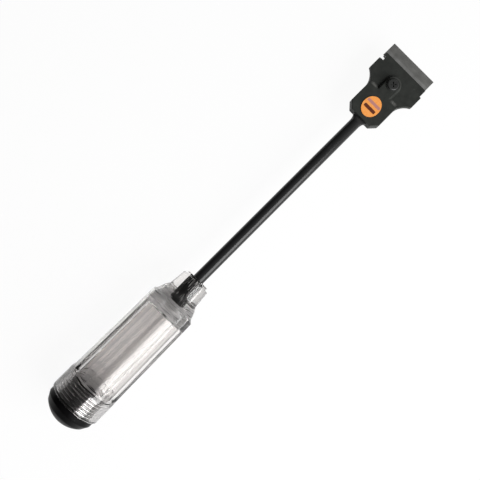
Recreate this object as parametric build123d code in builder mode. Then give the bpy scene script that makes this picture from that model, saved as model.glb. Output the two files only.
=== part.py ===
from build123d import *
import os
from math import atan2, cos, pi, sqrt, tan

os.makedirs("parts", exist_ok=True)

# A long-reach hob scraper that lies on its back: +X runs from the cap to the blade, +Z is the side of
# the label. All sizes are millimetres.

# Lengths along the tool, from the cap's end to the cutting edge
cap_reach = 13.6
handle_length = 107.0
shaft_reach = 155.7
head_length = 48.8
blade_reach = 9.6

total_length = cap_reach + handle_length + shaft_reach + head_length + blade_reach
rear_x = -total_length / 2
rim_x = rear_x + cap_reach
neck_x = rim_x + handle_length
base_x = neck_x + shaft_reach
jaw_x = base_x + head_length
edge_x = jaw_x + blade_reach

# Cuts run past the faces that they open by this much
overrun = 2.0

# Handle: stepped neck, flared shoulder, eight-sided barrel and round collar
collar_radius = 18.0
barrel_front_radius = 17.3
neck_tip_radius = 8.25
neck_tip_length = 1.9
neck_top_radius = 10.3
neck_foot_radius = 11.4
neck_length = 11.7
flare_radius = 13.3
flare_length = 2.9
shoulder_radius = 15.0
shoulder_length = 4.7
shoulder_slope_length = 2.2
collar_length = 17.3
facet_count = 8
facet_turn = 11.0
facet_runout = 2.6
edge_round = 0.5
flare_round = 1.2

# Store inside the handle, its front this far behind the neck's tip
store_setback = 29.5
store_front_radius = 13.3
store_rear_radius = 13.8
store_round = 1.5

# Cap thread
thread_pitch = 2.0
thread_turns = 3.5
plug_radius = 13.6
thread_height = 0.8
thread_base_width = 1.0
thread_crest_width = 0.4
thread_sink = 0.15
thread_clearance = 0.3
thread_start = 1.0
thread_zone_length = 14.6
plug_length = 9.0
plug_bore_radius = 10.6
thread_gap_width = 5.4

# Cap outside the handle
cap_radius = 16.8
cap_side_length = 3.8
cap_cone_length = 4.0
cap_cone_radius = 14.4
cap_floor = 4.0
cap_round = 0.8

# Seal ring and its recess in the cap
seal_thickness = 0.8
seal_width = 2.2
seal_clearance = 0.1
seat_gap = 0.05

# Rod and its forged tang
shaft_radius = 4.0
shaft_embed = 21.5
shaft_end_round = 0.8
tang_width = 11.4
tang_thickness = 3.0
forge_length = 4.8
forge_waist_width = 9.0
forge_waist_thickness = 5.9
tang_gap = 0.4

# Head outline, distances behind the jaw front
jaw_width = 38.1
jaw_length = 6.2
shoulder_width = 40.6
shoulder_end = 16.4
body_width = 26.0
waist_corner = 21.2
waist_round_share = 0.9
chamfer_length = 4.8
base_width = 17.4
outline_round = 0.7
notch_start = 2.6
notch_depth = 1.8

# Head plates
back_plate_thickness = 1.5
front_plate_thickness = 1.2
slide_gap = 0.05
groove_side_gap = 0.2
ramp_foot = 22.6
ramp_length = 2.8
tongue_width = 12.4
tongue_centre = 14.6
tongue_taper = 22.0
press_round = 0.6
sheet_round = 0.25
tang_slot_gap = 0.1

# Blade and its folded spine
blade_width = 38.7
blade_depth = 19.0
blade_thickness = 0.25
blade_offset = 0.5
edge_bevel = 1.2
spine_depth = 5.5
spine_length = 32.0
spine_thickness = 1.0
spine_corner_gap = 0.15

# Clamp screw, washer and nut
screw_centre = 16.3
screw_radius = 1.95
screw_bore_radius = 2.0
screw_hole_radius = 2.2
screw_head_radius = 3.9
screw_head_height = 1.3
screw_head_round = 0.6
screw_inset = 0.3
recess_length = 4.2
recess_width = 0.9
recess_depth = 0.8
washer_radius = 4.4
washer_thickness = 0.5
washer_gap = 0.05
nut_across_flats = 7.0
nut_height = 2.2

# Rivets
rivet_radius = 2.0
rivet_sink_radius = 3.0
rivet_spacing = 8.6
rivet_centre = 38.2

# Label
label_width = 13.0
label_length = 16.0
label_thickness = 0.4
label_centre = 38.2

# The tool lies with its collar on Z = 0
axis_z = collar_radius
tool_plane = Plane(origin=(0, 0, axis_z), x_dir=(1, 0, 0), z_dir=(0, -1, 0))
tool_axis = Axis((0, 0, axis_z), (1, 0, 0))

# Levels of the head, from the back plate up
back_inner_z = axis_z - tang_thickness / 2
back_outer_z = back_inner_z - back_plate_thickness
blade_low_z = back_inner_z + slide_gap
blade_mid_z = blade_low_z + blade_thickness / 2
low_inner_z = blade_low_z + blade_thickness + slide_gap
low_outer_z = low_inner_z + front_plate_thickness
high_inner_z = axis_z + tang_thickness / 2
high_outer_z = high_inner_z + front_plate_thickness
rise = high_inner_z - low_inner_z

# Places along the head
shoulder_start_x = jaw_x - jaw_length
blade_rear_x = edge_x - blade_depth
spine_front_x = blade_rear_x + spine_depth
spine_wall = (spine_thickness - blade_thickness) / 2
steel_rear_x = blade_rear_x + spine_wall
ramp_foot_x = jaw_x - ramp_foot
ramp_top_x = ramp_foot_x - ramp_length
hollow_front_x = ramp_foot_x - front_plate_thickness / 2
hollow_rear_x = base_x + chamfer_length + front_plate_thickness / 2
tongue_x = jaw_x - tongue_centre
tongue_rear_x = ramp_top_x - ramp_length
screw_x = jaw_x - screw_centre
label_x = jaw_x - label_centre
waist_drop = (shoulder_width - body_width) / 2
waist_run = waist_corner - shoulder_end
waist_round = waist_round_share * sqrt(waist_run**2 + waist_drop**2) / tan(atan2(waist_drop, waist_run) / 2)

# Places along the handle, from the neck's tip back to the rim
neck_step_x = neck_x - neck_tip_length
neck_foot_x = neck_step_x - neck_length
flare_x = neck_foot_x - flare_length
shoulder_x = flare_x - shoulder_length
barrel_x = shoulder_x - shoulder_slope_length
collar_x = rim_x + collar_length
store_x = neck_x - store_setback
thread_bore_radius = plug_radius + thread_clearance
thread_zone_x = rim_x + thread_zone_length


def thread_tooth(start_x, height, root_radius, base_width, crest_radius, crest_width):
    """One helical tooth round the tool's axis, its flanks closing from base_width to crest_width."""
    with BuildPart() as tooth:
        with BuildLine() as helix:
            Helix(thread_pitch, height, root_radius, center=(start_x, 0, axis_z), direction=(1, 0, 0))
        start = helix.line @ 0
        outwards = start - Vector(start_x, 0, axis_z)
        with BuildSketch(Plane(origin=start, x_dir=outwards, z_dir=helix.line % 0)):
            with BuildLine():
                Polyline(
                    (0, -base_width / 2),
                    (crest_radius - root_radius, -crest_width / 2),
                    (crest_radius - root_radius, crest_width / 2),
                    (0, base_width / 2),
                    close=True,
                )
            make_face()
        sweep(path=helix.line, is_frenet=True)
    return tooth.part


# Male thread on the plug. The female one starts two whole turns outside the rim and ends short of the
# zone that is bored for it, so the two stay in mesh as the cap backs out.
male_height = thread_pitch * thread_turns
male_x = rim_x + thread_start
flank_slope = (thread_base_width - thread_crest_width) / thread_height
crest_radius = plug_radius + thread_height
male_root_radius = plug_radius - thread_sink
male_tooth = thread_tooth(
    male_x,
    male_height,
    male_root_radius,
    thread_base_width + flank_slope * thread_sink,
    crest_radius,
    thread_crest_width,
)
lead_in = 2 * thread_pitch
lead_out = thread_base_width + thread_clearance
female_root_radius = thread_bore_radius - thread_sink
female_base_width = thread_base_width - flank_slope * (female_root_radius - plug_radius)
female_groove = thread_tooth(
    male_x - lead_in,
    lead_in + thread_zone_length - thread_start - lead_out,
    female_root_radius,
    female_base_width + 2 * thread_clearance,
    crest_radius + thread_clearance,
    thread_crest_width + thread_clearance,
)

# Handle: a clear moulding, turned outline first, then eight flats that run out at the collar
with BuildPart() as handle:
    with BuildSketch(tool_plane):
        with BuildLine():
            outer = FilletPolyline(
                (rim_x, 0),
                (rim_x, collar_radius),
                (collar_x, collar_radius),
                (barrel_x, barrel_front_radius),
                (shoulder_x, shoulder_radius),
                (flare_x, flare_radius),
                (neck_foot_x, neck_foot_radius),
                (neck_step_x, neck_top_radius),
                (neck_step_x, neck_tip_radius),
                (neck_x, neck_tip_radius),
                (neck_x, 0),
                radius=(edge_round, edge_round, edge_round, edge_round, flare_round)
                + (flare_round, edge_round, edge_round, edge_round),
            )
            Line(outer @ 1, outer @ 0)
        make_face()
    revolve(axis=tool_axis)
    flat_share = cos(pi / facet_count)
    flat_front = barrel_front_radius * flat_share
    flat_rear = collar_radius * flat_share
    flat_slope = (flat_rear - flat_front) / (barrel_x - collar_x)
    for facet in range(facet_count):
        turn = facet * 360 / facet_count + facet_turn
        with BuildSketch(tool_plane.rotated((turn, 0, 0))):
            with BuildLine():
                Polyline(
                    (barrel_x + overrun, flat_front - flat_slope * overrun),
                    (collar_x, flat_rear),
                    (collar_x - facet_runout, collar_radius + edge_round),
                    (collar_x - facet_runout, collar_radius + overrun),
                    (barrel_x + overrun, collar_radius + overrun),
                    close=True,
                )
            make_face()
        extrude(amount=collar_radius, both=True, mode=Mode.SUBTRACT)
    with BuildSketch(tool_plane):
        with BuildLine():
            bore = FilletPolyline(
                (rim_x - overrun, 0),
                (rim_x - overrun, thread_bore_radius),
                (thread_zone_x, thread_bore_radius),
                (thread_zone_x, store_rear_radius),
                (store_x, store_front_radius),
                (store_x, 0),
                radius=(0, 0, 0, store_round),
            )
            Line(bore @ 1, bore @ 0)
        make_face()
    revolve(axis=tool_axis, mode=Mode.SUBTRACT)
    with BuildSketch(tool_plane):
        with BuildLine():
            socket = FilletPolyline(
                (neck_x - shaft_embed, 0),
                (neck_x - shaft_embed, shaft_radius),
                (neck_x + overrun, shaft_radius),
                (neck_x + overrun, 0),
                radius=(shaft_end_round, 0),
            )
            Line(socket @ 1, socket @ 0)
        make_face()
    revolve(axis=tool_axis, mode=Mode.SUBTRACT)
    add(female_groove, mode=Mode.SUBTRACT)
handle.part.label = "handle"
export_step(handle.part, "parts/handle.step")

# Cap: dome, side, seat with the seal's recess, and a hollow plug whose thread is broken by two strips
cap_face_x = rim_x - seat_gap
recess_x = cap_face_x - seal_thickness - seat_gap
recess_radius = plug_radius + seal_width + 2 * seal_clearance
plug_end_x = rim_x + plug_length
dome_height = cap_reach - cap_side_length - cap_cone_length
dome_radius = (cap_cone_radius**2 + dome_height**2) / (2 * dome_height)
dome_mid_radius = cap_cone_radius / 2
dome_mid_x = rear_x + dome_radius - sqrt(dome_radius**2 - dome_mid_radius**2)
with BuildPart() as broken_tooth:
    add(male_tooth)
    strip_start = plug_radius / 2
    with BuildSketch(Plane(origin=(rim_x, 0, axis_z), x_dir=(0, 1, 0), z_dir=(1, 0, 0))):
        for side in (1, -1):
            with Locations((0, side * (strip_start + plug_radius / 2))):
                Rectangle(thread_gap_width, plug_radius)
    extrude(amount=plug_length + overrun, mode=Mode.SUBTRACT)
with BuildPart() as cap:
    with BuildSketch(tool_plane):
        with BuildLine():
            body = FilletPolyline(
                (plug_end_x, 0),
                (plug_end_x, plug_radius),
                (recess_x, plug_radius),
                (recess_x, recess_radius),
                (cap_face_x, recess_radius),
                (cap_face_x, cap_radius),
                (rim_x - cap_side_length, cap_radius),
                (rim_x - cap_side_length - cap_cone_length, cap_cone_radius),
                radius=(edge_round, 0, 0, 0, 0, cap_round),
            )
            ThreePointArc(body @ 1, (dome_mid_x, dome_mid_radius), (rear_x, 0))
            Line((rear_x, 0), body @ 0)
        make_face()
    revolve(axis=tool_axis)
    add(broken_tooth.part)
    with BuildSketch(Plane(origin=(plug_end_x, 0, axis_z), x_dir=(0, 1, 0), z_dir=(-1, 0, 0))):
        Circle(plug_bore_radius)
    extrude(amount=plug_length + cap_floor, mode=Mode.SUBTRACT)
cap.part.label = "cap"
export_step(cap.part, "parts/cap.step")

# Seal: a flat ring between the rim and the cap's recess
seal_inner = plug_radius + seal_clearance
with BuildPart() as cap_seal:
    with BuildSketch(Plane(origin=(rim_x - seat_gap, 0, axis_z), x_dir=(0, 1, 0), z_dir=(-1, 0, 0))):
        Circle(seal_inner + seal_width)
        Circle(seal_inner, mode=Mode.SUBTRACT)
    extrude(amount=seal_thickness)
cap_seal.part.label = "cap_seal"
export_step(cap_seal.part, "parts/cap_seal.step")

# Shaft: round rod, forged to a flat tang that runs between the plates
rivet_places = [jaw_x - rivet_centre + side * rivet_spacing / 2 for side in (1, -1)]
forge_x = base_x - forge_length
tang_start_x = base_x - forge_length / 6
tang_end_x = hollow_front_x - ramp_length - tang_gap
with BuildPart() as shaft:
    with BuildSketch(tool_plane):
        with BuildLine():
            rod = FilletPolyline(
                (neck_x - shaft_embed, 0),
                (neck_x - shaft_embed, shaft_radius),
                (forge_x, shaft_radius),
                (forge_x, 0),
                radius=(shaft_end_round, 0),
            )
            Line(rod @ 1, rod @ 0)
        make_face()
    revolve(axis=tool_axis)
    forge_plane = Plane(origin=(forge_x, 0, axis_z), x_dir=(0, 1, 0), z_dir=(1, 0, 0))
    with BuildSketch(forge_plane):
        Circle(shaft_radius)
    with BuildSketch(forge_plane.offset(forge_length / 2)):
        Ellipse(forge_waist_width / 2, forge_waist_thickness / 2)
    with BuildSketch(forge_plane.offset(forge_length)):
        Ellipse(tang_width / 2, tang_thickness / 2)
    loft()
    with BuildSketch(Plane(origin=((tang_end_x + tang_start_x) / 2, 0, back_inner_z))):
        RectangleRounded(tang_end_x - tang_start_x, tang_width, outline_round)
    extrude(amount=tang_thickness)
    with BuildSketch(Plane(origin=(0, 0, back_inner_z))):
        with Locations(*[(x, 0) for x in rivet_places]):
            Circle(rivet_radius)
    extrude(amount=tang_thickness, mode=Mode.SUBTRACT)
shaft.part.label = "shaft"
export_step(shaft.part, "parts/shaft.step")


def head_outline():
    """The outline that both plates share, from the jaws to the base."""
    half = [
        (jaw_x, jaw_width / 2),
        (shoulder_start_x, jaw_width / 2),
        (shoulder_start_x, shoulder_width / 2),
        (jaw_x - shoulder_end, shoulder_width / 2),
        (jaw_x - waist_corner, body_width / 2),
        (base_x + chamfer_length, body_width / 2),
        (base_x, base_width / 2),
    ]
    radii = [outline_round, 0, outline_round, outline_round, waist_round, outline_round, outline_round]
    other = [(x, -y) for x, y in reversed(half)]
    FilletPolyline(*half, *other, radius=radii + radii[::-1], close=True)


def notch_block(low_z, high_z):
    """Block that opens the notch between the jaw and the shoulder on the +Y side."""
    notch_length = jaw_length - notch_start
    with BuildPart() as block:
        with BuildSketch(Plane(origin=(shoulder_start_x + notch_length / 2, jaw_width / 2, low_z))):
            with Locations((0, overrun / 2)):
                Rectangle(notch_length, 2 * notch_depth + overrun)
        extrude(amount=high_z - low_z)
    return block.part


def groove_block(low_z, high_z):
    """Block that cuts the spine's groove, open on the -Y side and closed on the +Y side."""
    groove_front = spine_front_x + groove_side_gap
    groove_rear = blade_rear_x - groove_side_gap
    closed_y = blade_offset + spine_length / 2 + spine_corner_gap
    open_y = -shoulder_width / 2 - overrun
    with BuildPart() as block:
        with BuildSketch(Plane(origin=((groove_front + groove_rear) / 2, 0, low_z))):
            with Locations((0, (closed_y + open_y) / 2)):
                Rectangle(groove_front - groove_rear, closed_y - open_y)
        extrude(amount=high_z - low_z)
    return block.part


def sink_block(rivet_x, inner_z, outer_z):
    """Cone that cuts a rivet's hole through a plate and widens it to the plate's outer face."""
    with BuildPart() as block:
        with BuildSketch(Plane(origin=(rivet_x, 0, inner_z))):
            Circle(rivet_radius)
        with BuildSketch(Plane(origin=(rivet_x, 0, outer_z))):
            Circle(rivet_sink_radius)
        loft()
    return block.part


# Back plate: flat, with the spine's groove and holes for the screw and the sunk rivets
spine_low_z = blade_mid_z - spine_thickness / 2
spine_high_z = blade_mid_z + spine_thickness / 2
plate_notch = notch_block(back_outer_z, high_outer_z)
spine_groove = groove_block(spine_low_z - slide_gap, spine_high_z + slide_gap)
back_sinks = [sink_block(x, back_inner_z, back_outer_z) for x in rivet_places]
front_sinks = [sink_block(x, high_inner_z, high_outer_z) for x in rivet_places]
with BuildPart() as head_back_plate:
    with BuildSketch(Plane(origin=(0, 0, back_outer_z))):
        with BuildLine():
            head_outline()
        make_face()
        with Locations((screw_x, 0)):
            Circle(screw_hole_radius, mode=Mode.SUBTRACT)
    extrude(amount=back_plate_thickness)
    fillet(head_back_plate.faces().sort_by(Axis.Z)[0].outer_wire().edges(), sheet_round)
    add([plate_notch, spine_groove, *back_sinks], mode=Mode.SUBTRACT)
head_back_plate.part.label = "head_back_plate"
export_step(head_back_plate.part, "parts/head_back_plate.step")

# Front plate: low over the blade, raised over the tang, with a raised tongue over the nut
with BuildPart() as head_front_plate:
    with BuildSketch(Plane(origin=(0, 0, low_inner_z))):
        with BuildLine():
            head_outline()
        make_face()
    extrude(amount=high_outer_z - low_inner_z)
    # The part above the low level is cut away ahead of the ramp, and the tongue is put back on it
    with BuildSketch(tool_plane):
        with BuildLine():
            Polyline(
                (jaw_x + overrun, low_outer_z - axis_z),
                (ramp_foot_x, low_outer_z - axis_z),
                (ramp_top_x, high_outer_z - axis_z),
                (ramp_top_x, high_outer_z - axis_z + overrun),
                (jaw_x + overrun, high_outer_z - axis_z + overrun),
                close=True,
            )
        make_face()
    extrude(amount=shoulder_width, both=True, mode=Mode.SUBTRACT)
    with BuildSketch(Plane(origin=(0, 0, low_outer_z))):
        with Locations((tongue_x, 0)):
            Circle(tongue_width / 2)
        with Locations(((tongue_x + tongue_rear_x) / 2, 0)):
            Rectangle(tongue_x - tongue_rear_x, tongue_width)
    extrude(amount=rise, taper=tongue_taper)
    raised_rim = head_front_plate.edges().filter_by_position(Axis.Z, high_outer_z, high_outer_z)
    fillet(raised_rim, press_round)
    low_rim = head_front_plate.edges().filter_by_position(Axis.Z, low_outer_z, low_outer_z)
    fillet(low_rim.filter_by(lambda edge: abs(edge.center().Y) > tongue_width), sheet_round)
    # The skirt reaches down to the back plate along the raised body
    with BuildSketch(Plane(origin=(0, 0, back_inner_z))):
        with BuildLine():
            head_outline()
        make_face()
        with Locations((jaw_x + overrun, 0)):
            Rectangle(2 * (ramp_foot + overrun), 2 * shoulder_width, mode=Mode.SUBTRACT)
    extrude(amount=low_inner_z - back_inner_z)
    # Hollow under the raised body, open at the base where the tang comes in
    with BuildSketch(tool_plane):
        with BuildLine():
            Polyline(
                (hollow_front_x, back_inner_z - axis_z),
                (hollow_front_x, low_inner_z - axis_z),
                (hollow_front_x - ramp_length, high_inner_z - axis_z),
                (hollow_rear_x, high_inner_z - axis_z),
                (hollow_rear_x, back_inner_z - axis_z),
                close=True,
            )
        make_face()
    extrude(amount=body_width / 2 - front_plate_thickness, both=True, mode=Mode.SUBTRACT)
    slot_length = hollow_rear_x - base_x + overrun
    with BuildSketch(Plane(origin=(0, 0, back_inner_z))):
        with Locations((base_x - overrun + slot_length / 2, 0)):
            Rectangle(slot_length, tang_width + 2 * tang_slot_gap)
    extrude(amount=tang_thickness, mode=Mode.SUBTRACT)
    # Hollow under the tongue
    inner_radius = tongue_width / 2 - front_plate_thickness
    with BuildSketch(Plane(origin=(0, 0, low_inner_z))):
        with Locations((tongue_x, 0)):
            Circle(inner_radius)
        with Locations(((tongue_x + tongue_rear_x) / 2, 0)):
            Rectangle(tongue_x - tongue_rear_x, 2 * inner_radius)
    extrude(amount=rise, taper=tongue_taper, mode=Mode.SUBTRACT)
    add([plate_notch, spine_groove, *front_sinks], mode=Mode.SUBTRACT)
    with BuildSketch(Plane(origin=(0, 0, high_outer_z))):
        with Locations((screw_x, 0)):
            Circle(screw_hole_radius)
    extrude(amount=-front_plate_thickness, mode=Mode.SUBTRACT)
head_front_plate.part.label = "head_front_plate"
export_step(head_front_plate.part, "parts/head_front_plate.step")

# Rivets: sunk flush into both plates
with BuildPart() as tang_rivets:
    for rivet_x in rivet_places:
        rivet_plane = Plane(origin=(rivet_x, 0, 0), x_dir=(1, 0, 0), z_dir=(0, -1, 0))
        with BuildSketch(rivet_plane):
            with BuildLine():
                Polyline(
                    (0, back_outer_z),
                    (rivet_sink_radius, back_outer_z),
                    (rivet_radius, back_inner_z),
                    (rivet_radius, high_inner_z),
                    (rivet_sink_radius, high_outer_z),
                    (0, high_outer_z),
                    close=True,
                )
            make_face()
        revolve(axis=Axis((rivet_x, 0, 0), (0, 0, 1)))
tang_rivets.part.label = "tang_rivets"
export_step(tang_rivets.part, "parts/tang_rivets.step")

# Nut: fixed to the back plate inside the tongue
with BuildPart() as clamp_nut:
    with BuildSketch(Plane(origin=(screw_x, 0, back_inner_z))):
        RegularPolygon(nut_across_flats / 2, 6, major_radius=False)
        Circle(screw_bore_radius, mode=Mode.SUBTRACT)
    extrude(amount=nut_height)
clamp_nut.part.label = "clamp_nut"
export_step(clamp_nut.part, "parts/clamp_nut.step")

# Washer: on top of the tongue
washer_z = high_outer_z + washer_gap
with BuildPart() as clamp_washer:
    with BuildSketch(Plane(origin=(screw_x, 0, washer_z))):
        Circle(washer_radius)
        Circle(screw_hole_radius, mode=Mode.SUBTRACT)
    extrude(amount=washer_thickness)
clamp_washer.part.label = "clamp_washer"
export_step(clamp_washer.part, "parts/clamp_washer.step")

# Screw: pan head with a cross recess, its tip just inside the back plate
screw_seat_z = washer_z + washer_thickness + washer_gap
screw_top_z = screw_seat_z + screw_head_height
screw_tip_z = back_outer_z + screw_inset
with BuildPart() as clamp_screw:
    with BuildSketch(Plane(origin=(screw_x, 0, 0), x_dir=(1, 0, 0), z_dir=(0, -1, 0))):
        with BuildLine():
            side = FilletPolyline(
                (0, screw_tip_z),
                (screw_radius, screw_tip_z),
                (screw_radius, screw_seat_z),
                (screw_head_radius, screw_seat_z),
                (screw_head_radius, screw_top_z),
                (0, screw_top_z),
                radius=(screw_inset, 0, 0, screw_head_round),
            )
            Line(side @ 1, side @ 0)
        make_face()
    revolve(axis=Axis((screw_x, 0, 0), (0, 0, 1)))
    with BuildSketch(Plane(origin=(screw_x, 0, screw_top_z))):
        Rectangle(recess_length, recess_width, rotation=45)
        Rectangle(recess_width, recess_length, rotation=45)
    extrude(amount=-recess_depth, mode=Mode.SUBTRACT)
clamp_screw.part.label = "clamp_screw"
export_step(clamp_screw.part, "parts/clamp_screw.step")

# Blade: ground to an edge on both faces, its rear corners cut away beside the spine
with BuildPart() as blade:
    blade_section = Plane(origin=(0, blade_offset, blade_mid_z), x_dir=(1, 0, 0), z_dir=(0, -1, 0))
    with BuildSketch(blade_section):
        with BuildLine():
            Polyline(
                (edge_x, 0),
                (edge_x - edge_bevel, blade_thickness / 2),
                (steel_rear_x, blade_thickness / 2),
                (steel_rear_x, -blade_thickness / 2),
                (edge_x - edge_bevel, -blade_thickness / 2),
                close=True,
            )
        make_face()
    extrude(amount=blade_width / 2, both=True)
    corner_length = jaw_x - notch_start - blade_rear_x + overrun
    corner_y = spine_length / 2 + spine_corner_gap
    with BuildSketch(Plane(origin=(blade_rear_x - overrun + corner_length / 2, blade_offset, blade_low_z))):
        for side in (1, -1):
            with Locations((0, side * (corner_y + blade_width / 2))):
                Rectangle(corner_length, blade_width)
    extrude(amount=blade_thickness, mode=Mode.SUBTRACT)
blade.part.label = "blade"
export_step(blade.part, "parts/blade.step")

# Spine: a strip folded over the blade's rear edge
with BuildPart() as blade_spine:
    with BuildSketch(blade_section):
        with Locations((blade_rear_x + spine_depth / 2, 0)):
            Rectangle(spine_depth, spine_thickness)
        with Locations((steel_rear_x + spine_depth / 2, 0)):
            Rectangle(spine_depth, blade_thickness, mode=Mode.SUBTRACT)
    extrude(amount=spine_length / 2, both=True)
blade_spine.part.label = "blade_spine"
export_step(blade_spine.part, "parts/blade_spine.step")

# Label: an oval disc on the raised body
with BuildPart() as label:
    with BuildSketch(Plane(origin=(label_x, 0, high_outer_z))):
        Ellipse(label_length / 2, label_width / 2)
    extrude(amount=label_thickness)
label.part.label = "label"
export_step(label.part, "parts/label.step")
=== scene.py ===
import bpy
from math import cos, pi, radians, sin, tan
from mathutils import Matrix, Vector


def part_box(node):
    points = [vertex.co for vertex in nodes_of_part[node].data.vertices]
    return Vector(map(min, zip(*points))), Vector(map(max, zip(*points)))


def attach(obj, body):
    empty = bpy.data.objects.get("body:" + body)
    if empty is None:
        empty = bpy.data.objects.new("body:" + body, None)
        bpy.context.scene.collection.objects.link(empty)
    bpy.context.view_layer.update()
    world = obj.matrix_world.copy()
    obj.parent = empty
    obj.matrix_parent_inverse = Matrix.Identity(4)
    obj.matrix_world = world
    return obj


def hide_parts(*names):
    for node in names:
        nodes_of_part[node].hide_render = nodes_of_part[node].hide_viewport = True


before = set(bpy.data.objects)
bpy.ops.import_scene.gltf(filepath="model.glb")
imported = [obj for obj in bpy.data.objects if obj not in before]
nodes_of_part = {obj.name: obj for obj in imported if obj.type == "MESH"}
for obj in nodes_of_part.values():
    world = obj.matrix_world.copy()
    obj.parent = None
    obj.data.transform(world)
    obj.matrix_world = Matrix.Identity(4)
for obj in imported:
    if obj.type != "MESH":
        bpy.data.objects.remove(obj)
bpy.context.view_layer.update()


# Camera: a third of a metre above the rod and square to it, a little behind the tool's middle, and turned
# so that the head points to the upper right of a 480 by 480 picture.
def in_scene(name, data):
    """A new object in the scene that shows a camera, a lamp or a mesh."""
    made = bpy.data.objects.new(name, data)
    bpy.context.scene.collection.objects.link(made)
    return made


camera_lens = bpy.data.cameras.new("camera")
camera_lens.sensor_width = 36
camera_lens.lens = 37.5
camera_place = Vector((-0.05045, -0.0010, 0.3438))
camera_aim = Vector((-0.00905, -0.0010, 0.0180))
backwards = (camera_place - camera_aim).normalized()
tool_way = (Vector((1, 0, 0)) - backwards * backwards.x).normalized()
side_way = backwards.cross(tool_way)
picture_right = (tool_way - side_way).normalized()
picture_up = (tool_way + side_way).normalized()
camera_turn = Matrix((picture_right, picture_up, backwards)).transposed().to_4x4()
camera = in_scene("camera", camera_lens)
camera.matrix_world = Matrix.Translation(camera_place) @ camera_turn
bpy.context.scene.camera = camera
bpy.context.scene.view_settings.view_transform = "Standard"


# Floor: a plain white sheet of paper that the tool lies on. The camera and the metal see it as nearly white,
# the clear plastic sees more of the paper's own shading, and it keeps the tool's soft shadow.
def mesh_piece(name, points, faces=()):
    """A mesh object at the origin, with its place in its mesh."""
    mesh = bpy.data.meshes.new(name)
    mesh.from_pydata(points, [], faces)
    mesh.update()
    return in_scene(name, mesh)


def add_node(tree, kind, sockets=None, **settings):
    """Adds a node to a tree, with its settings, and links or sets its input sockets."""
    made = tree.nodes.new(kind)
    for name, value in settings.items():
        setattr(made, name, value)
    for name, value in (sockets or {}).items():
        if isinstance(value, bpy.types.NodeSocket):
            tree.links.new(value, made.inputs[name])
        else:
            made.inputs[name].default_value = value
    return made


def add_maths(tree, operation, *values):
    """Adds a Math node and gives its result."""
    return add_node(tree, "ShaderNodeMath", dict(enumerate(values)), operation=operation).outputs[0]


def add_blend(tree, share, first, second):
    """Adds a mix from the first shader to the second by a share and gives its result."""
    return add_node(tree, "ShaderNodeMixShader", {0: share, 1: first, 2: second}).outputs[0]


floor_half = 2.0
floor_signs = [(-1, -1), (1, -1), (1, 1), (-1, 1)]
floor_corners = [(floor_half * x_sign, floor_half * y_sign, 0) for x_sign, y_sign in floor_signs]
white = (1, 1, 1, 1)
shaded_paper = (0.92, 0.92, 0.92, 1)
white_seen_straight = 0.94
white_seen_through = 0.1
floor = mesh_piece("floor", floor_corners, [(0, 1, 2, 3)])
floor_paper = bpy.data.materials.new("floor_paper")
floor_paper.use_nodes = True
floor_paper.cycles.emission_sampling = "NONE"
paper = floor_paper.node_tree
paper.nodes.clear()
ray = add_node(paper, "ShaderNodeLightPath").outputs
mirrored = add_maths(paper, "SUBTRACT", ray["Is Glossy Ray"], ray["Is Transmission Ray"])
straight = add_maths(paper, "MAXIMUM", ray["Is Camera Ray"], mirrored)
straight_share = add_maths(paper, "MULTIPLY", straight, white_seen_straight)
through_share = add_maths(paper, "MULTIPLY", ray["Is Transmission Ray"], white_seen_through)
white_share = add_maths(paper, "MAXIMUM", straight_share, through_share)
paper_shade = add_node(paper, "ShaderNodeBsdfDiffuse", {"Color": shaded_paper}).outputs[0]
paper_white = add_node(paper, "ShaderNodeEmission", {"Color": white, "Strength": 1}).outputs[0]
paper_seen = add_blend(paper, white_share, paper_shade, paper_white)
add_node(paper, "ShaderNodeOutputMaterial", {"Surface": paper_seen})
floor.data.materials.append(floor_paper)


# Light: a pale room that is dimmer overhead, behind the cap and on the left of the tool, and one large soft
# box high on its right. The camera sees the room as white paper.
def add_split(tree, vector):
    """Adds a Separate XYZ node and gives its three results."""
    return add_node(tree, "ShaderNodeSeparateXYZ", {0: vector}).outputs


def add_ramp(tree, value, start, end, at_start=0.0, at_end=1.0):
    """Adds a Map Range node, which goes evenly from one result to the other, and gives its result."""
    sockets = {"Value": value, "From Min": start, "From Max": end, "To Min": at_start, "To Max": at_end}
    return add_node(tree, "ShaderNodeMapRange", sockets).outputs[0]


room_tones = [(0.0, (0.80, 0.79, 0.77, 1)), (0.9, (0.26, 0.26, 0.26, 1))]
room_slant = -0.6
bright_side = -0.9
dim_side = 0.5
bright_strength = 0.7
dim_strength = 0.16
seen_strength = 0.97
room = bpy.data.worlds.new("room")
bpy.context.scene.world = room
room.use_nodes = True
air = room.node_tree
air.nodes.clear()
air_way = add_split(air, add_node(air, "ShaderNodeTexCoord").outputs["Generated"])
air_ramp = add_node(air, "ShaderNodeValToRGB", {"Fac": air_way["Z"]})
for stop, (height, room_tone) in zip(air_ramp.color_ramp.elements, room_tones):
    stop.position = height
    stop.color = room_tone
air_tone = air_ramp.outputs["Color"]
air_across = add_maths(air, "MULTIPLY_ADD", air_way["X"], room_slant, air_way["Y"])
air_strength = add_ramp(air, air_across, bright_side, dim_side, bright_strength, dim_strength)
air_light = add_node(air, "ShaderNodeBackground", {"Color": air_tone, "Strength": air_strength}).outputs[0]
air_white = add_node(air, "ShaderNodeBackground", {"Color": white, "Strength": seen_strength}).outputs[0]
air_ray = add_node(air, "ShaderNodeLightPath").outputs
air_seen = add_blend(air, air_ray["Is Camera Ray"], air_light, air_white)
add_node(air, "ShaderNodeOutputWorld", {"Surface": air_seen})

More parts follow.
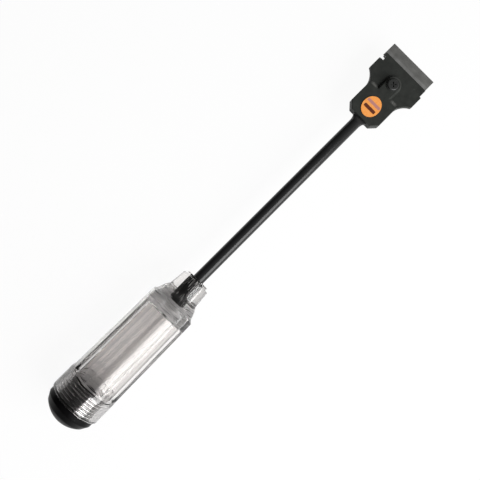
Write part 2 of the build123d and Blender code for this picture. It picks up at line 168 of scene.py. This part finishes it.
box_place = Vector((-0.01, -0.58, 0.43))
box_aim = Vector((-0.01, 0, 0.02))
box_lamp = bpy.data.lights.new("right_box", "AREA")
box_lamp.shape = "RECTANGLE"
box_lamp.size = 0.64
box_lamp.size_y = 0.60
box_lamp.energy = 9.6
right_box = in_scene("right_box", box_lamp)
right_box.location = box_place
right_box.rotation_mode = "QUATERNION"
right_box.rotation_quaternion = (box_aim - box_place).to_track_quat("-Z", "Y")


# Handle: one clear moulding of hard plastic, its neck moulded solid round the rod's end. A turned outline
# with eight flats that run out at the round collar, a deep store for blades, and a thread in its mouth. It is
# polished, with faint flow waves, weld ripples in the solid shoulder and hair scratches. Painted shade
# darkens the solid shoulder, more in rings along the ripples, and darkens the threaded mouth.
def rounded_line(corners, arc_steps):
    """Points of a line through corners (x, radius, rounding), each corner rounded by its own arc."""
    points = []
    for number, (x, r, rounding) in enumerate(corners):
        here = Vector((x, r))
        if rounding == 0:
            points.append(here)
            continue
        back = (Vector(corners[number - 1][:2]) - here).normalized()
        ahead = (Vector(corners[number + 1][:2]) - here).normalized()
        half_angle = back.angle(ahead) / 2
        centre = here + (back + ahead).normalized() * rounding / sin(half_angle)
        first_way = (here + back * rounding / tan(half_angle) - centre).normalized()
        last_way = (here + ahead * rounding / tan(half_angle) - centre).normalized()
        for step in range(arc_steps + 1):
            points.append(centre + rounding * first_way.slerp(last_way, step / arc_steps))
    return points


def spaced_line(points, gap_at):
    """The same line with more points, about as far apart as gap_at gives for each place."""
    spaced = [points[0]]
    for start, end in zip(points, points[1:]):
        pieces = max(1, round((end - start).length / gap_at((start + end) / 2)))
        spaced += [start.lerp(end, step / pieces) for step in range(1, pieces + 1)]
    return spaced


handle_low, handle_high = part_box("handle")
rod_low, rod_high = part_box("shaft")
rim_x = handle_low.x
neck_x = handle_high.x
collar_radius = (handle_high.z - handle_low.z) / 2
axis_z = collar_radius
edge_round = 0.0005
flare_round = 0.0012
collar_x = rim_x + 0.0173
neck_step_x = neck_x - 0.0019
neck_foot_x = neck_step_x - 0.0117
flare_x = neck_foot_x - 0.0029
shoulder_x = flare_x - 0.0047
barrel_x = shoulder_x - 0.0022
neck_end_radius = 0.00825
neck_step_radius = 0.0103
neck_foot_radius = 0.0114
flare_radius = 0.0133
shoulder_radius = 0.0150
barrel_front_radius = 0.0173
rod_radius = (rod_high.z - rod_low.z) / 2
socket_share = 0.96
socket_radius = socket_share * rod_radius
socket_x = rod_low.x + 0.0004
store_x = neck_x - 0.0295
store_mouth_radius = 0.0138
store_end_radius = 0.0133
store_round = 0.0015
mouth_radius = 0.0139
thread_end_x = rim_x + 0.0146
corner_steps = 4
handle_corners = [
    (socket_x, 0, 0),
    (socket_x, socket_radius, edge_round),
    (neck_x, socket_radius, 0),
    (neck_x, neck_end_radius, edge_round),
    (neck_step_x, neck_end_radius, 0),
    (neck_step_x, neck_step_radius, edge_round),
    (neck_foot_x, neck_foot_radius, flare_round),
    (flare_x, flare_radius, flare_round),
    (shoulder_x, shoulder_radius, edge_round),
    (barrel_x, barrel_front_radius, edge_round),
    (collar_x, collar_radius, edge_round),
    (rim_x, collar_radius, edge_round),
    (rim_x, mouth_radius, 0),
    (thread_end_x, mouth_radius, 0),
    (thread_end_x, store_mouth_radius, 0),
    (store_x, store_end_radius, store_round),
    (store_x, 0, 0),
]

flat_count = 8
first_flat = radians(11.0)
flat_runout = 0.0026
flat_edge_round = 0.0006
no_flat = 1.0
groove_start_x = rim_x + 0.0005
groove_length = 0.0138
groove_pitch = 0.0020
groove_depth = 0.0008
groove_root_half = 0.00066
groove_crest_half = 0.00035
runout_zone = (collar_x - 1.3 * flat_runout, collar_x + 0.4 * flat_runout)
front_zone = (barrel_x - 0.001, shoulder_x)
thread_gap = 0.00009
zone_gap = 0.00018
plain_gap = 0.0025
points_around = 192
merge_gap = 0.000002


def handle_gap(place):
    """About how far apart the handle's rings of points are at a place."""
    x, r = place
    if x < thread_end_x and r < mouth_radius + edge_round:
        return thread_gap
    if runout_zone[0] < x < runout_zone[1] or front_zone[0] < x < front_zone[1]:
        return zone_gap
    return plain_gap


handle_line = spaced_line(rounded_line(handle_corners, corner_steps), handle_gap)
rim_reach = rim_x + edge_round / 10
mouth_number = max(number for number, point in enumerate(handle_line) if point.x < rim_reach)
flat_share = cos(pi / flat_count)
flat_slope = flat_share * (collar_radius - barrel_front_radius) / (barrel_x - collar_x)
flats = []
grooves = []
for number, (x, r) in enumerate(handle_line):
    outside = number < mouth_number and r > barrel_front_radius / 2
    flat = flat_share * collar_radius - flat_slope * (x - collar_x)
    if x < collar_x:
        rise_share = (collar_x - x) / flat_runout
        flat = flat_share * collar_radius * (1 - rise_share) + (collar_radius + edge_round) * rise_share
    flats.append(flat if outside else no_flat)
    threaded = number >= mouth_number and x < thread_end_x
    past_groove = (x - rim_x - groove_length) / edge_round
    grooves.append(min(1.0, max(0.0, 1 - past_groove)) if threaded else 0.0)
handle_profile = mesh_piece("handle_profile", [(x, 0, r) for x, r in handle_line])
for name, values in {"flat": flats, "groove": grooves}.items():
    handle_profile.data.attributes.new(name, "FLOAT", "POINT").data.foreach_set("value", values)


def socket_kind(value):
    """The kind of socket that a size needs."""
    return {int: "NodeSocketInt", float: "NodeSocketFloat", tuple: "NodeSocketVector"}[type(value)]


turning = bpy.data.node_groups.new("turned_with_flats", "GeometryNodeTree")
turning_sizes = {
    "Axis Height": axis_z,
    "Around": points_around,
    "Flats": flat_count,
    "First Flat": first_flat,
    "Edge Round": flat_edge_round,
    "Groove Start": groove_start_x,
    "Groove Pitch": groove_pitch,
    "Groove Depth": groove_depth,
    "Groove Root Half": groove_root_half,
    "Groove Crest Half": groove_crest_half,
}
turning.interface.new_socket("Profile", in_out="INPUT", socket_type="NodeSocketGeometry")
for name, value in turning_sizes.items():
    turning.interface.new_socket(name, in_out="INPUT", socket_type=socket_kind(value))
turning.interface.new_socket("Plastic", in_out="INPUT", socket_type="NodeSocketMaterial")
turning.interface.new_socket("Geometry", in_out="OUTPUT", socket_type="NodeSocketGeometry")
sizes_in = add_node(turning, "NodeGroupInput").outputs
profile = add_node(turning, "GeometryNodeAttributeDomainSize", {0: sizes_in["Profile"]}, component="MESH")
ring_count = profile.outputs["Point Count"]
around_closed = add_maths(turning, "ADD", sizes_in["Around"], 1)
sheet = add_node(turning, "GeometryNodeMeshGrid", {"Vertices X": ring_count, "Vertices Y": around_closed})
point_number = add_node(turning, "GeometryNodeInputIndex").outputs[0]
past_point = add_maths(turning, "ADD", point_number, 0.5)
ring = add_maths(turning, "FLOOR", add_maths(turning, "DIVIDE", past_point, around_closed))
ring_start = add_maths(turning, "MULTIPLY", ring, around_closed)
step_round = add_maths(turning, "SUBTRACT", point_number, ring_start)
turn_share = add_maths(turning, "DIVIDE", step_round, sizes_in["Around"])
from_first_flat = add_maths(turning, "MULTIPLY", turn_share, 2 * pi)
turn = add_maths(turning, "ADD", from_first_flat, sizes_in["First Flat"])


def at_ring(data_type, value):
    """The profile's own value at the ring of the point that is worked on."""
    sampled = add_node(turning, "GeometryNodeSampleIndex", data_type=data_type, domain="POINT")
    for name, source in {"Geometry": sizes_in["Profile"], "Value": value, "Index": ring}.items():
        turning.links.new(source, sampled.inputs[name])
    return sampled.outputs[0]


def profile_value(name):
    """A value that is kept with the profile's points."""
    named = add_node(turning, "GeometryNodeInputNamedAttribute", {"Name": name}, data_type="FLOAT")
    return at_ring("FLOAT", named.outputs["Attribute"])


def from_nearest(value, spacing):
    """How far a value is from the nearest of evenly spaced ones."""
    half = add_maths(turning, "DIVIDE", spacing, 2)
    return add_maths(turning, "WRAP", value, half, add_maths(turning, "MULTIPLY", half, -1))


profile_place = add_node(turning, "GeometryNodeInputPosition").outputs[0]
ring_place = add_split(turning, at_ring("FLOAT_VECTOR", profile_place))
flat_spacing = add_maths(turning, "DIVIDE", 2 * pi, sizes_in["Flats"])
from_flat = from_nearest(from_first_flat, flat_spacing)
flat_radius = add_maths(turning, "DIVIDE", profile_value("flat"), add_maths(turning, "COSINE", from_flat))
cut_radius = add_maths(turning, "SMOOTH_MIN", ring_place["Z"], flat_radius, sizes_in["Edge Round"])
turns_round = add_maths(turning, "DIVIDE", turn, 2 * pi)
groove_lead = add_maths(turning, "MULTIPLY", turns_round, sizes_in["Groove Pitch"])
from_start = add_maths(turning, "SUBTRACT", ring_place["X"], sizes_in["Groove Start"])
along_groove = add_maths(turning, "SUBTRACT", from_start, groove_lead)
from_groove = add_maths(turning, "ABSOLUTE", from_nearest(along_groove, sizes_in["Groove Pitch"]))
groove_root = sizes_in["Groove Root Half"]
groove_crest = sizes_in["Groove Crest Half"]
groove_cut = add_ramp(turning, from_groove, groove_root, groove_crest, 0.0, sizes_in["Groove Depth"])
groove_here = add_maths(turning, "MULTIPLY", groove_cut, profile_value("groove"))
radius_here = add_maths(turning, "ADD", cut_radius, groove_here)
turned_y = add_maths(turning, "MULTIPLY", radius_here, add_maths(turning, "COSINE", turn))
off_axis_z = add_maths(turning, "MULTIPLY", radius_here, add_maths(turning, "SINE", turn))
turned_z = add_maths(turning, "ADD", sizes_in["Axis Height"], off_axis_z)
turned_sockets = {"X": ring_place["X"], "Y": turned_y, "Z": turned_z}
turned_place = add_node(turning, "ShaderNodeCombineXYZ", turned_sockets).outputs[0]
turning_steps = {
    "GeometryNodeSetPosition": {"Position": turned_place},
    "GeometryNodeMergeByDistance": {"Distance": merge_gap},
    "GeometryNodeSetShadeSmooth": {"Shade Smooth": True},
    "GeometryNodeRealizeInstances": {},
    "GeometryNodeSetMaterial": {"Material": sizes_in["Plastic"]},
}
shape = sheet.outputs["Mesh"]
for kind, sockets in turning_steps.items():
    shape = add_node(turning, kind, {"Geometry": shape, **sockets}).outputs[0]
add_node(turning, "NodeGroupOutput", {0: shape})


def plain_mesh(source, tree, values, name):
    """Runs a geometry tree on an object and gives the result as a plain mesh piece."""
    modifier = source.modifiers.new(name, "NODES")
    modifier.node_group = tree
    for socket in tree.interface.items_tree:
        if socket.in_out == "INPUT" and socket.name in values:
            modifier[socket.identifier] = values[socket.name]
    evaluated = source.evaluated_get(bpy.context.evaluated_depsgraph_get())
    mesh = bpy.data.meshes.new_from_object(evaluated)
    mesh.name = name
    source.modifiers.remove(modifier)
    bpy.data.objects.remove(source)
    return in_scene(name, mesh)


def plain_material(name, **values):
    """A material, its tree, its Principled shader with its even values set, and the place on the piece."""
    made = bpy.data.materials.new(name)
    made.use_nodes = True
    tree = made.node_tree
    shader = tree.nodes["Principled BSDF"]
    for socket_name, value in values.items():
        shader.inputs[socket_name.replace("_", " ")].default_value = value
    return made, tree, shader, add_node(tree, "ShaderNodeTexCoord").outputs["Object"]


def effect_group(name, result_name, **inputs):
    """A shader node group with named inputs and one result, and the sockets inside it."""
    group = bpy.data.node_groups.new(name, "ShaderNodeTree")
    group.interface.new_socket("Place", in_out="INPUT", socket_type="NodeSocketVector")
    for socket_name, value in inputs.items():
        socket = group.interface.new_socket(socket_name, in_out="INPUT", socket_type=socket_kind(value))
        socket.default_value = value
    group.interface.new_socket(result_name, in_out="OUTPUT", socket_type="NodeSocketFloat")
    return group, add_node(group, "NodeGroupInput").outputs, add_node(group, "NodeGroupOutput").inputs[0]


def use_effect(tree, group, place, **values):
    """Places an effect in a material, with its own values, and gives its result."""
    return add_node(tree, "ShaderNodeGroup", {"Place": place, **values}, node_tree=group).outputs[0]


def add_vector_maths(tree, operation, *values, result="Vector"):
    """Adds a Vector Math node and gives its result."""
    sockets = dict(enumerate(values))
    return add_node(tree, "ShaderNodeVectorMath", sockets, operation=operation).outputs[result]


def add_noise(tree, place, scale, detail, distortion=0.0):
    """Adds a Noise Texture node and gives its height."""
    sockets = {"Vector": place, "Scale": scale, "Detail": detail, "Distortion": distortion}
    return add_node(tree, "ShaderNodeTexNoise", sockets).outputs[0]


def add_distance(tree, value, middle):
    """How far a value is from a middle one, to either side."""
    return add_maths(tree, "ABSOLUTE", add_maths(tree, "SUBTRACT", value, middle))


def add_band(tree, value, middle, core, reach):
    """A mask that is full up to core from a middle value and has gone at reach."""
    return add_ramp(tree, add_distance(tree, value, middle), core, reach, 1.0, 0.0)


def add_patches(tree, place, scale, detail, start, full):
    """A mask of loose patches, which begin where a noise passes start and are full where it passes full."""
    return add_ramp(tree, add_noise(tree, place, scale, detail), start, full)


def add_tones(tree, mask, first, second, strength=1.0):
    """Adds a mix from the first colour to the second by a mask, at a strength, and gives its result."""
    share = mask if strength == 1.0 else add_maths(tree, "MULTIPLY", mask, strength)
    sockets = {"Factor": share, "A": first, "B": second}
    return add_node(tree, "ShaderNodeMix", sockets, data_type="RGBA").outputs["Result"]


def finish_surface(tree, shader, tone, pattern, least, swing):
    """Feeds a shader its colour, and a roughness that rises from the least one by a swing with a pattern."""
    tree.links.new(tone, shader.inputs["Base Color"])
    tree.links.new(add_maths(tree, "MULTIPLY_ADD", pattern, swing, least), shader.inputs["Roughness"])


def raise_surface(tree, shader, height, depth, strength):
    """Feeds a shader a relief of a depth in metres."""
    relief = add_node(tree, "ShaderNodeBump", {"Height": height, "Distance": depth, "Strength": strength})
    tree.links.new(relief.outputs[0], shader.inputs["Normal"])


unstretched = (1.0, 1.0, 1.0)
grain, grain_in, grain_out = effect_group("grain", "Height", Stretch=unstretched, Scale=1000.0, Detail=3.0)
grain_place = add_vector_maths(grain, "MULTIPLY", grain_in["Place"], grain_in["Stretch"])
grain.links.new(add_noise(grain, grain_place, grain_in["Scale"], grain_in["Detail"]), grain_out)

hairlines, hair_in, hair_out = effect_group(
    "hairlines",
    "Mask",
    Stretch=unstretched,
    Scale=60.0,
    Width=0.012,
    Patches=30.0,
)
hair_place = add_vector_maths(hairlines, "MULTIPLY", hair_in["Place"], hair_in["Stretch"])
hair_noise = add_noise(hairlines, hair_place, hair_in["Scale"], detail=2.0, distortion=0.4)
hair_line = add_band(hairlines, hair_noise, middle=0.5, core=0.0, reach=hair_in["Width"])
hair_patches = add_patches(hairlines, hair_in["Place"], hair_in["Patches"], detail=1.0, start=0.48, full=0.62)
hairlines.links.new(add_maths(hairlines, "MULTIPLY", hair_line, hair_patches), hair_out)

clear_tone = (0.90, 0.880, 0.868, 1)
# Painted shade: a darker grey mixed over the solid shoulder, more in rings along its ripples, and over the
# threaded mouth.
painted_shade_grey = (0.46, 0.45, 0.45, 1)
solid_blend = 0.001
shade_ring_start = 0.47
shade_ring_full = 0.53
solid_shade_depth = 0.25
shade_ring_depth = 0.75
weld_relief = 6.0
mouth_shade_depth = 0.42
mouth_fade_start_x = thread_end_x - 0.001
mouth_fade_end_x = thread_end_x + 0.005
along_flow = (0.012, 1.0, 1.0)
along_scratch = (0.35, 1.0, 1.0)
across_weld = (1.0, 0.10, 0.10)
solid_middle_x = (store_x + flare_x) / 2
solid_half = (flare_x - store_x) / 2
clear_plastic, plastic, shader, place = plain_material("clear_plastic", IOR=1.49, Transmission_Weight=1)
flow = use_effect(plastic, grain, place, Stretch=along_flow, Scale=330.0, Detail=2.5)
scratch = use_effect(plastic, hairlines, place, Stretch=along_scratch, Scale=260.0, Width=0.01, Patches=70.0)
ripple = use_effect(plastic, grain, place, Stretch=across_weld, Scale=520.0, Detail=2.0)
along_handle = add_split(plastic, place)["X"]
in_solid = add_band(plastic, along_handle, solid_middle_x, solid_half - solid_blend, solid_half + solid_blend)
# Painted shade in rings along the ripples of the solid shoulder, over the whole shoulder and over the
# threaded mouth.
shade_ring_line = add_maths(plastic, "MULTIPLY", add_ramp(plastic, ripple, shade_ring_start, shade_ring_full), in_solid)
shade_ring_share = add_maths(plastic, "MULTIPLY", shade_ring_line, shade_ring_depth)
solid_shade_share = add_maths(plastic, "MULTIPLY_ADD", in_solid, solid_shade_depth, shade_ring_share)
mouth_shade_share = add_ramp(plastic, along_handle, mouth_fade_start_x, mouth_fade_end_x, mouth_shade_depth, 0.0)
painted_shade_share = add_maths(plastic, "MAXIMUM", solid_shade_share, mouth_shade_share)
tone = add_tones(plastic, painted_shade_share, clear_tone, painted_shade_grey)
finish_surface(plastic, shader, tone, scratch, least=0.05, swing=0.12)
weld_height = add_maths(plastic, "MULTIPLY", in_solid, weld_relief)
wave_height = add_maths(plastic, "MULTIPLY_ADD", ripple, weld_height, flow)
raise_surface(plastic, shader, wave_height, depth=0.00013, strength=1.0)
handle_values = {**turning_sizes, "Plastic": clear_plastic}
clear_handle = plain_mesh(handle_profile, turning, handle_values, "clear_handle")
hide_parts("handle")
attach(clear_handle, "tool")


# Cap: a black moulded screw cap with a hollow threaded plug, in satin gloss with a fine spark-eroded grain
# that is cloudy from handling, and a few scratches. A painted highlight makes the crests of its thread pale.
def dress(node_name, made):
    """Puts a material on a CAD node."""
    mesh = nodes_of_part[node_name].data
    mesh.materials.clear()
    mesh.materials.append(made)


def add_radius(tree, first, second):
    """How far a place is from an axis, by its two distances square to that axis."""
    across_axis = add_node(tree, "ShaderNodeCombineXYZ", {0: first, 1: second}).outputs[0]
    return add_vector_maths(tree, "LENGTH", across_axis, result="Value")


cap_black = (0.0030, 0.0029, 0.0031, 1)
cap_scratched = (0.010, 0.010, 0.011, 1)
# Painted highlight: a pale grey on the crests of the plug's thread.
crest_highlight_grey = (0.46, 0.45, 0.45, 1)
crest_radius = 0.0144
crest_highlight_start = crest_radius - 0.0003
crest_highlight_full = crest_radius - 0.0001
plug_blend = 0.0005
black_plastic, plastic, shader, place = plain_material("black_plastic", Specular_IOR_Level=0.06)
fine = use_effect(plastic, grain, place, Scale=5200.0, Detail=2.0)
clouds = use_effect(plastic, grain, place, Scale=90.0, Detail=3.0)
marks = use_effect(plastic, hairlines, place, Scale=180.0, Width=0.008, Patches=80.0)
tone = add_tones(plastic, marks, cap_black, cap_scratched)
cap_place = add_split(plastic, place)
above_axis = add_maths(plastic, "SUBTRACT", cap_place["Z"], axis_z)
from_axis = add_radius(plastic, cap_place["Y"], above_axis)
# Painted highlight on the plug's thread crests.
at_crest = add_ramp(plastic, from_axis, crest_highlight_start, crest_highlight_full)
on_plug = add_ramp(plastic, cap_place["X"], rim_x, rim_x + plug_blend)
crest_highlight_share = add_maths(plastic, "MULTIPLY", at_crest, on_plug)
tone = add_tones(plastic, crest_highlight_share, tone, crest_highlight_grey)
finish_surface(plastic, shader, tone, clouds, least=0.25, swing=0.22)
raise_surface(plastic, shader, fine, depth=0.000025, strength=0.8)
dress("cap", black_plastic)

# Seal: a flat ring stamped from matt black rubber, laid in the cap's recess. It has a fine grain and a
# little pale bloom.
rubber_black = (0.008, 0.008, 0.008, 1)
rubber_bloomed = (0.035, 0.034, 0.032, 1)
seal_rubber, rubber, shader, place = plain_material("seal_rubber", Specular_IOR_Level=0.3)
bloom = use_effect(rubber, grain, place, Scale=700.0, Detail=4.0)
tone = add_tones(rubber, bloom, rubber_black, rubber_bloomed)
finish_surface(rubber, shader, tone, bloom, least=0.65, swing=0.2)
raise_surface(rubber, shader, bloom, depth=0.00003, strength=0.7)
dress("cap_seal", seal_rubber)

# Shaft: a drawn steel rod with a glossy black oxide finish, its front end forged flat for the head. Faint
# drawing lines run along it, with a few rubbed marks. Pale streaks on the part inside the neck are a painted
# highlight.
oxide_black = (0.012, 0.012, 0.0125, 1)
oxide_rubbed = (0.036, 0.036, 0.037, 1)
# Painted highlight: pale streaks on the rod inside the clear neck.
neck_streak_highlight = (0.62, 0.62, 0.61, 1)
rubbed_strength = 0.5
drawn_strength = 0.35
neck_highlight_start_x = neck_x - 0.0015
neck_highlight_full_x = neck_x - 0.0025
along_drawing = (0.012, 1.0, 1.0)
along_rubbing = (0.25, 1.0, 1.0)
along_patina = (0.5, 1.0, 1.0)
along_neck = (0.06, 1.0, 1.0)
black_rod, steel, shader, place = plain_material("black_rod", Specular_IOR_Level=0.24)
drawn = use_effect(steel, grain, place, Stretch=along_drawing, Scale=2600.0, Detail=3.0)
rubbed = use_effect(steel, hairlines, place, Stretch=along_rubbing, Scale=220.0, Width=0.01, Patches=60.0)
patina = use_effect(steel, grain, place, Stretch=along_patina, Scale=120.0, Detail=3.0)
neck_highlight_streaks = use_effect(steel, hairlines, place, Stretch=along_neck, Scale=620.0, Width=0.035, Patches=160.0)
drawn_share = add_maths(steel, "MULTIPLY", drawn, drawn_strength)
rod_share = add_maths(steel, "MULTIPLY_ADD", rubbed, rubbed_strength, drawn_share)
tone = add_tones(steel, rod_share, oxide_black, oxide_rubbed)
# Painted highlight in streaks on the part of the rod inside the neck.
in_neck = add_ramp(steel, add_split(steel, place)["X"], neck_highlight_start_x, neck_highlight_full_x)
tone = add_tones(steel, add_maths(steel, "MULTIPLY", in_neck, neck_highlight_streaks), tone, neck_streak_highlight)
finish_surface(steel, shader, tone, patina, least=0.12, swing=0.16)
raise_surface(steel, shader, drawn, depth=0.000006, strength=0.8)
dress("shaft", black_rod)

# Head plates: two pressings of sheet steel that share one outline, riveted round the tang and sprayed
# satin black. The paint has a soft orange peel, has worn a little at the edges, and is lightly scratched and
# dusty. Painted highlights make it paler in an arc in front of the screw and at the ends of the
# tongue's rear fold.
worn_edges, worn_in, worn_out = effect_group("worn_edges", "Mask", Reach=0.0002, Patches=900.0)
rounded_face = add_node(worn_edges, "ShaderNodeBevel", {"Radius": worn_in["Reach"]}, samples=6).outputs[0]
true_face = add_node(worn_edges, "ShaderNodeNewGeometry").outputs["Normal"]
facing = add_vector_maths(worn_edges, "DOT_PRODUCT", rounded_face, true_face, result="Value")
edge_near = add_ramp(worn_edges, facing, start=0.985, end=0.90)
patches = add_patches(worn_edges, worn_in["Place"], worn_in["Patches"], detail=3.0, start=0.45, full=0.65)
worn_edges.links.new(add_maths(worn_edges, "MULTIPLY", edge_near, patches), worn_out)

paint_black = (0.020, 0.0215, 0.0202, 1)
paint_dusty = (0.037, 0.0395, 0.036, 1)
paint_bare = (0.16, 0.15, 0.14, 1)
# Painted highlights: a paler grey in an arc in front of the screw, and a pale grey at the ends of the
# tongue's rear fold.
arc_highlight_grey = (0.065, 0.066, 0.063, 1)
fold_highlight_grey = (0.19, 0.19, 0.18, 1)
worn_strength = 0.10
nick_strength = 0.2
screw_low, screw_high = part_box("clamp_screw")
screw_middle = (screw_low + screw_high) / 2
arc_highlight_radius = 0.0062
arc_highlight_width = 0.0009
arc_highlight_start_ahead = -0.002
arc_highlight_full_ahead = 0.004
fold_x = screw_middle.x - 0.00795
fold_side = 0.0092
black_paint, paint, shader, place = plain_material("black_paint", Specular_IOR_Level=0.15)
peel = use_effect(paint, grain, place, Scale=750.0, Detail=1.0)
dust = use_effect(paint, grain, place, Scale=260.0, Detail=5.0)
nicks = use_effect(paint, hairlines, place, Scale=240.0, Width=0.007, Patches=120.0)
worn = use_effect(paint, worn_edges, place, Reach=0.0002, Patches=900.0)
tone = add_tones(paint, dust, paint_black, paint_dusty)
worn_share = add_maths(paint, "MULTIPLY", worn, worn_strength)
nick_share = add_maths(paint, "MULTIPLY", nicks, nick_strength)
tone = add_tones(paint, add_maths(paint, "MAXIMUM", worn_share, nick_share), tone, paint_bare)
head_place = add_split(paint, place)
from_screw_x = add_maths(paint, "SUBTRACT", head_place["X"], screw_middle.x)
from_screw_y = add_maths(paint, "SUBTRACT", head_place["Y"], screw_middle.y)
from_screw = add_radius(paint, from_screw_x, from_screw_y)
# Painted highlight in an arc round the front of the screw.
arc_highlight_ring = add_band(paint, from_screw, arc_highlight_radius, core=0.0, reach=arc_highlight_width)
arc_highlight_front = add_ramp(paint, from_screw_x, arc_highlight_start_ahead, arc_highlight_full_ahead)
arc_highlight_share = add_maths(paint, "MULTIPLY", arc_highlight_ring, arc_highlight_front)
tone = add_tones(paint, arc_highlight_share, tone, arc_highlight_grey, strength=0.6)
# Painted highlight at the two ends of the tongue's rear fold.
fold_highlight_line = add_band(paint, head_place["X"], fold_x, core=0.0004, reach=0.0022)
to_side = add_maths(paint, "ABSOLUTE", from_screw_y)
fold_highlight_end = add_band(paint, to_side, fold_side, core=0.0012, reach=0.0032)
fold_highlight_share = add_maths(paint, "MULTIPLY", fold_highlight_line, fold_highlight_end)
tone = add_tones(paint, fold_highlight_share, tone, fold_highlight_grey, strength=0.8)
finish_surface(paint, shader, tone, dust, least=0.30, swing=0.3)
raise_surface(paint, shader, peel, depth=0.00004, strength=0.7)
for plate_name in ("head_back_plate", "head_front_plate"):
    dress(plate_name, black_paint)

# Rivets, clamp screw and washer: black zinc on steel, the same near black as the paint but a little
# smoother, rubbed to a greyer tone at their edges.
zinc_black = (0.016, 0.017, 0.0165, 1)
zinc_cloudy = (0.034, 0.035, 0.034, 1)
zinc_rubbed = (0.14, 0.14, 0.135, 1)
screw_black, metal, shader, place = plain_material("screw_black", Specular_IOR_Level=0.5)
plated = use_effect(metal, grain, place, Scale=1500.0, Detail=3.0)
worn = use_effect(metal, worn_edges, place, Reach=0.00015, Patches=1400.0)
tone = add_tones(metal, plated, zinc_black, zinc_cloudy)
tone = add_tones(metal, worn, tone, zinc_rubbed, strength=0.4)
finish_surface(metal, shader, tone, plated, least=0.28, swing=0.25)
raise_surface(metal, shader, plated, depth=0.00001, strength=0.6)
for fastener_name in ("tang_rivets", "clamp_screw", "clamp_washer"):
    dress(fastener_name, screw_black)

# Nut and blade spine: bright zinc on steel. The nut is brazed behind the blade, inside the raised tongue.
# The spine is folded over the blade's rear edge and shows only when the blade is slid out.
zinc_grey = (0.42, 0.42, 0.41, 1)
zinc_bright = (0.66, 0.66, 0.65, 1)
zinc_steel, metal, shader, place = plain_material("zinc_steel", Metallic=1)
spangle = use_effect(metal, grain, place, Scale=1100.0, Detail=4.0)
tone = add_tones(metal, spangle, zinc_grey, zinc_bright)
finish_surface(metal, shader, tone, spangle, least=0.25, swing=0.25)
for bright_name in ("clamp_nut", "blade_spine"):
    dress(bright_name, zinc_steel)

# Blade: a standard single-edge razor blade of hardened steel. Fine grinding lines run beside its cutting
# edge, and the ground zone is a little darker than the rolled strip behind it.
ground_dark = (0.28, 0.283, 0.27, 1)
ground_bright = (0.60, 0.60, 0.58, 1)
rolled_dark = (0.48, 0.48, 0.47, 1)
rolled_bright = (0.62, 0.62, 0.61, 1)
ground_length = 0.0066
ground_blend = 0.0005
beside_edge = (1.0, 0.05, 1.0)
edge_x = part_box("blade")[1].x
ground_end_x = edge_x - ground_length
blade_steel, steel, shader, place = plain_material("blade_steel", Metallic=1)
ragged = use_effect(steel, grain, place, Scale=500.0, Detail=3.0)
ground = use_effect(steel, grain, place, Stretch=beside_edge, Scale=5200.0, Detail=3.0)
smudge = use_effect(steel, grain, place, Scale=170.0, Detail=3.0)
ragged_x = add_maths(steel, "MULTIPLY_ADD", ragged, ground_blend, add_split(steel, place)["X"])
rolled_share = add_ramp(steel, ragged_x, ground_end_x + ground_blend, ground_end_x)
ground_tone = add_tones(steel, ground, ground_dark, ground_bright)
rolled_tone = add_tones(steel, smudge, rolled_dark, rolled_bright)
tone = add_tones(steel, rolled_share, ground_tone, rolled_tone)
finish_surface(steel, shader, tone, smudge, least=0.30, swing=0.25)
raise_surface(steel, shader, ground, depth=0.000006, strength=0.8)
dress("blade", blade_steel)

# Label: an oval of printed film on the raised body, orange with a plain dusky pink bar and a dark brown bar
# across it. The print has a fine screen, and a few scratches.
orange_deep = (0.84, 0.25, 0.04, 1)
orange_light = (0.98, 0.46, 0.13, 1)
bar_pink = (0.42, 0.20, 0.21, 1)
bar_brown = (0.12, 0.028, 0.012, 1)
print_scratched = (0.75, 0.60, 0.45, 1)
ragged_width = 0.0005
bar_edge = 0.0001
label_low, label_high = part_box("label")
label_middle = (label_low + label_high) / 2
label_half_length = (label_high.x - label_low.x) / 2
label_half_width = (label_high.y - label_low.y) / 2
label_print, film, shader, place = plain_material("label_print", Specular_IOR_Level=0.4)
print_place = add_split(film, place)
screen = use_effect(film, grain, place, Scale=900.0, Detail=3.0)
scratch = use_effect(film, hairlines, place, Scale=330.0, Width=0.008, Patches=200.0)
ragged_edge = add_maths(film, "MULTIPLY", add_maths(film, "SUBTRACT", screen, 0.5), ragged_width)


def add_bar(place_share, length_share, width_share):
    """Where a plain bar is printed, its place and its two sizes as shares of the label's half sizes."""
    half_length = length_share * label_half_length
    off_x = add_distance(film, print_place["X"], label_middle.x + place_share * label_half_length)
    off_y = add_distance(film, print_place["Y"], label_middle.y)
    beyond_x = add_maths(film, "SUBTRACT", off_x, half_length)
    beyond_y = add_maths(film, "SUBTRACT", off_y, width_share * label_half_width)
    beyond_both = add_maths(film, "SMOOTH_MAX", beyond_x, beyond_y, half_length)
    return add_ramp(film, add_maths(film, "ADD", beyond_both, ragged_edge), bar_edge, -bar_edge)


pink_bar = add_bar(place_share=0.32, length_share=0.14, width_share=0.86)
brown_bar = add_bar(place_share=-0.24, length_share=0.16, width_share=0.74)
tone = add_tones(film, screen, orange_deep, orange_light)
tone = add_tones(film, pink_bar, tone, bar_pink, strength=0.85)
tone = add_tones(film, brown_bar, tone, bar_brown)
tone = add_tones(film, scratch, tone, print_scratched, strength=0.4)
finish_surface(film, shader, tone, screen, least=0.28, swing=0.2)
raise_surface(film, shader, screen, depth=0.00001, strength=0.5)
dress("label", label_print)
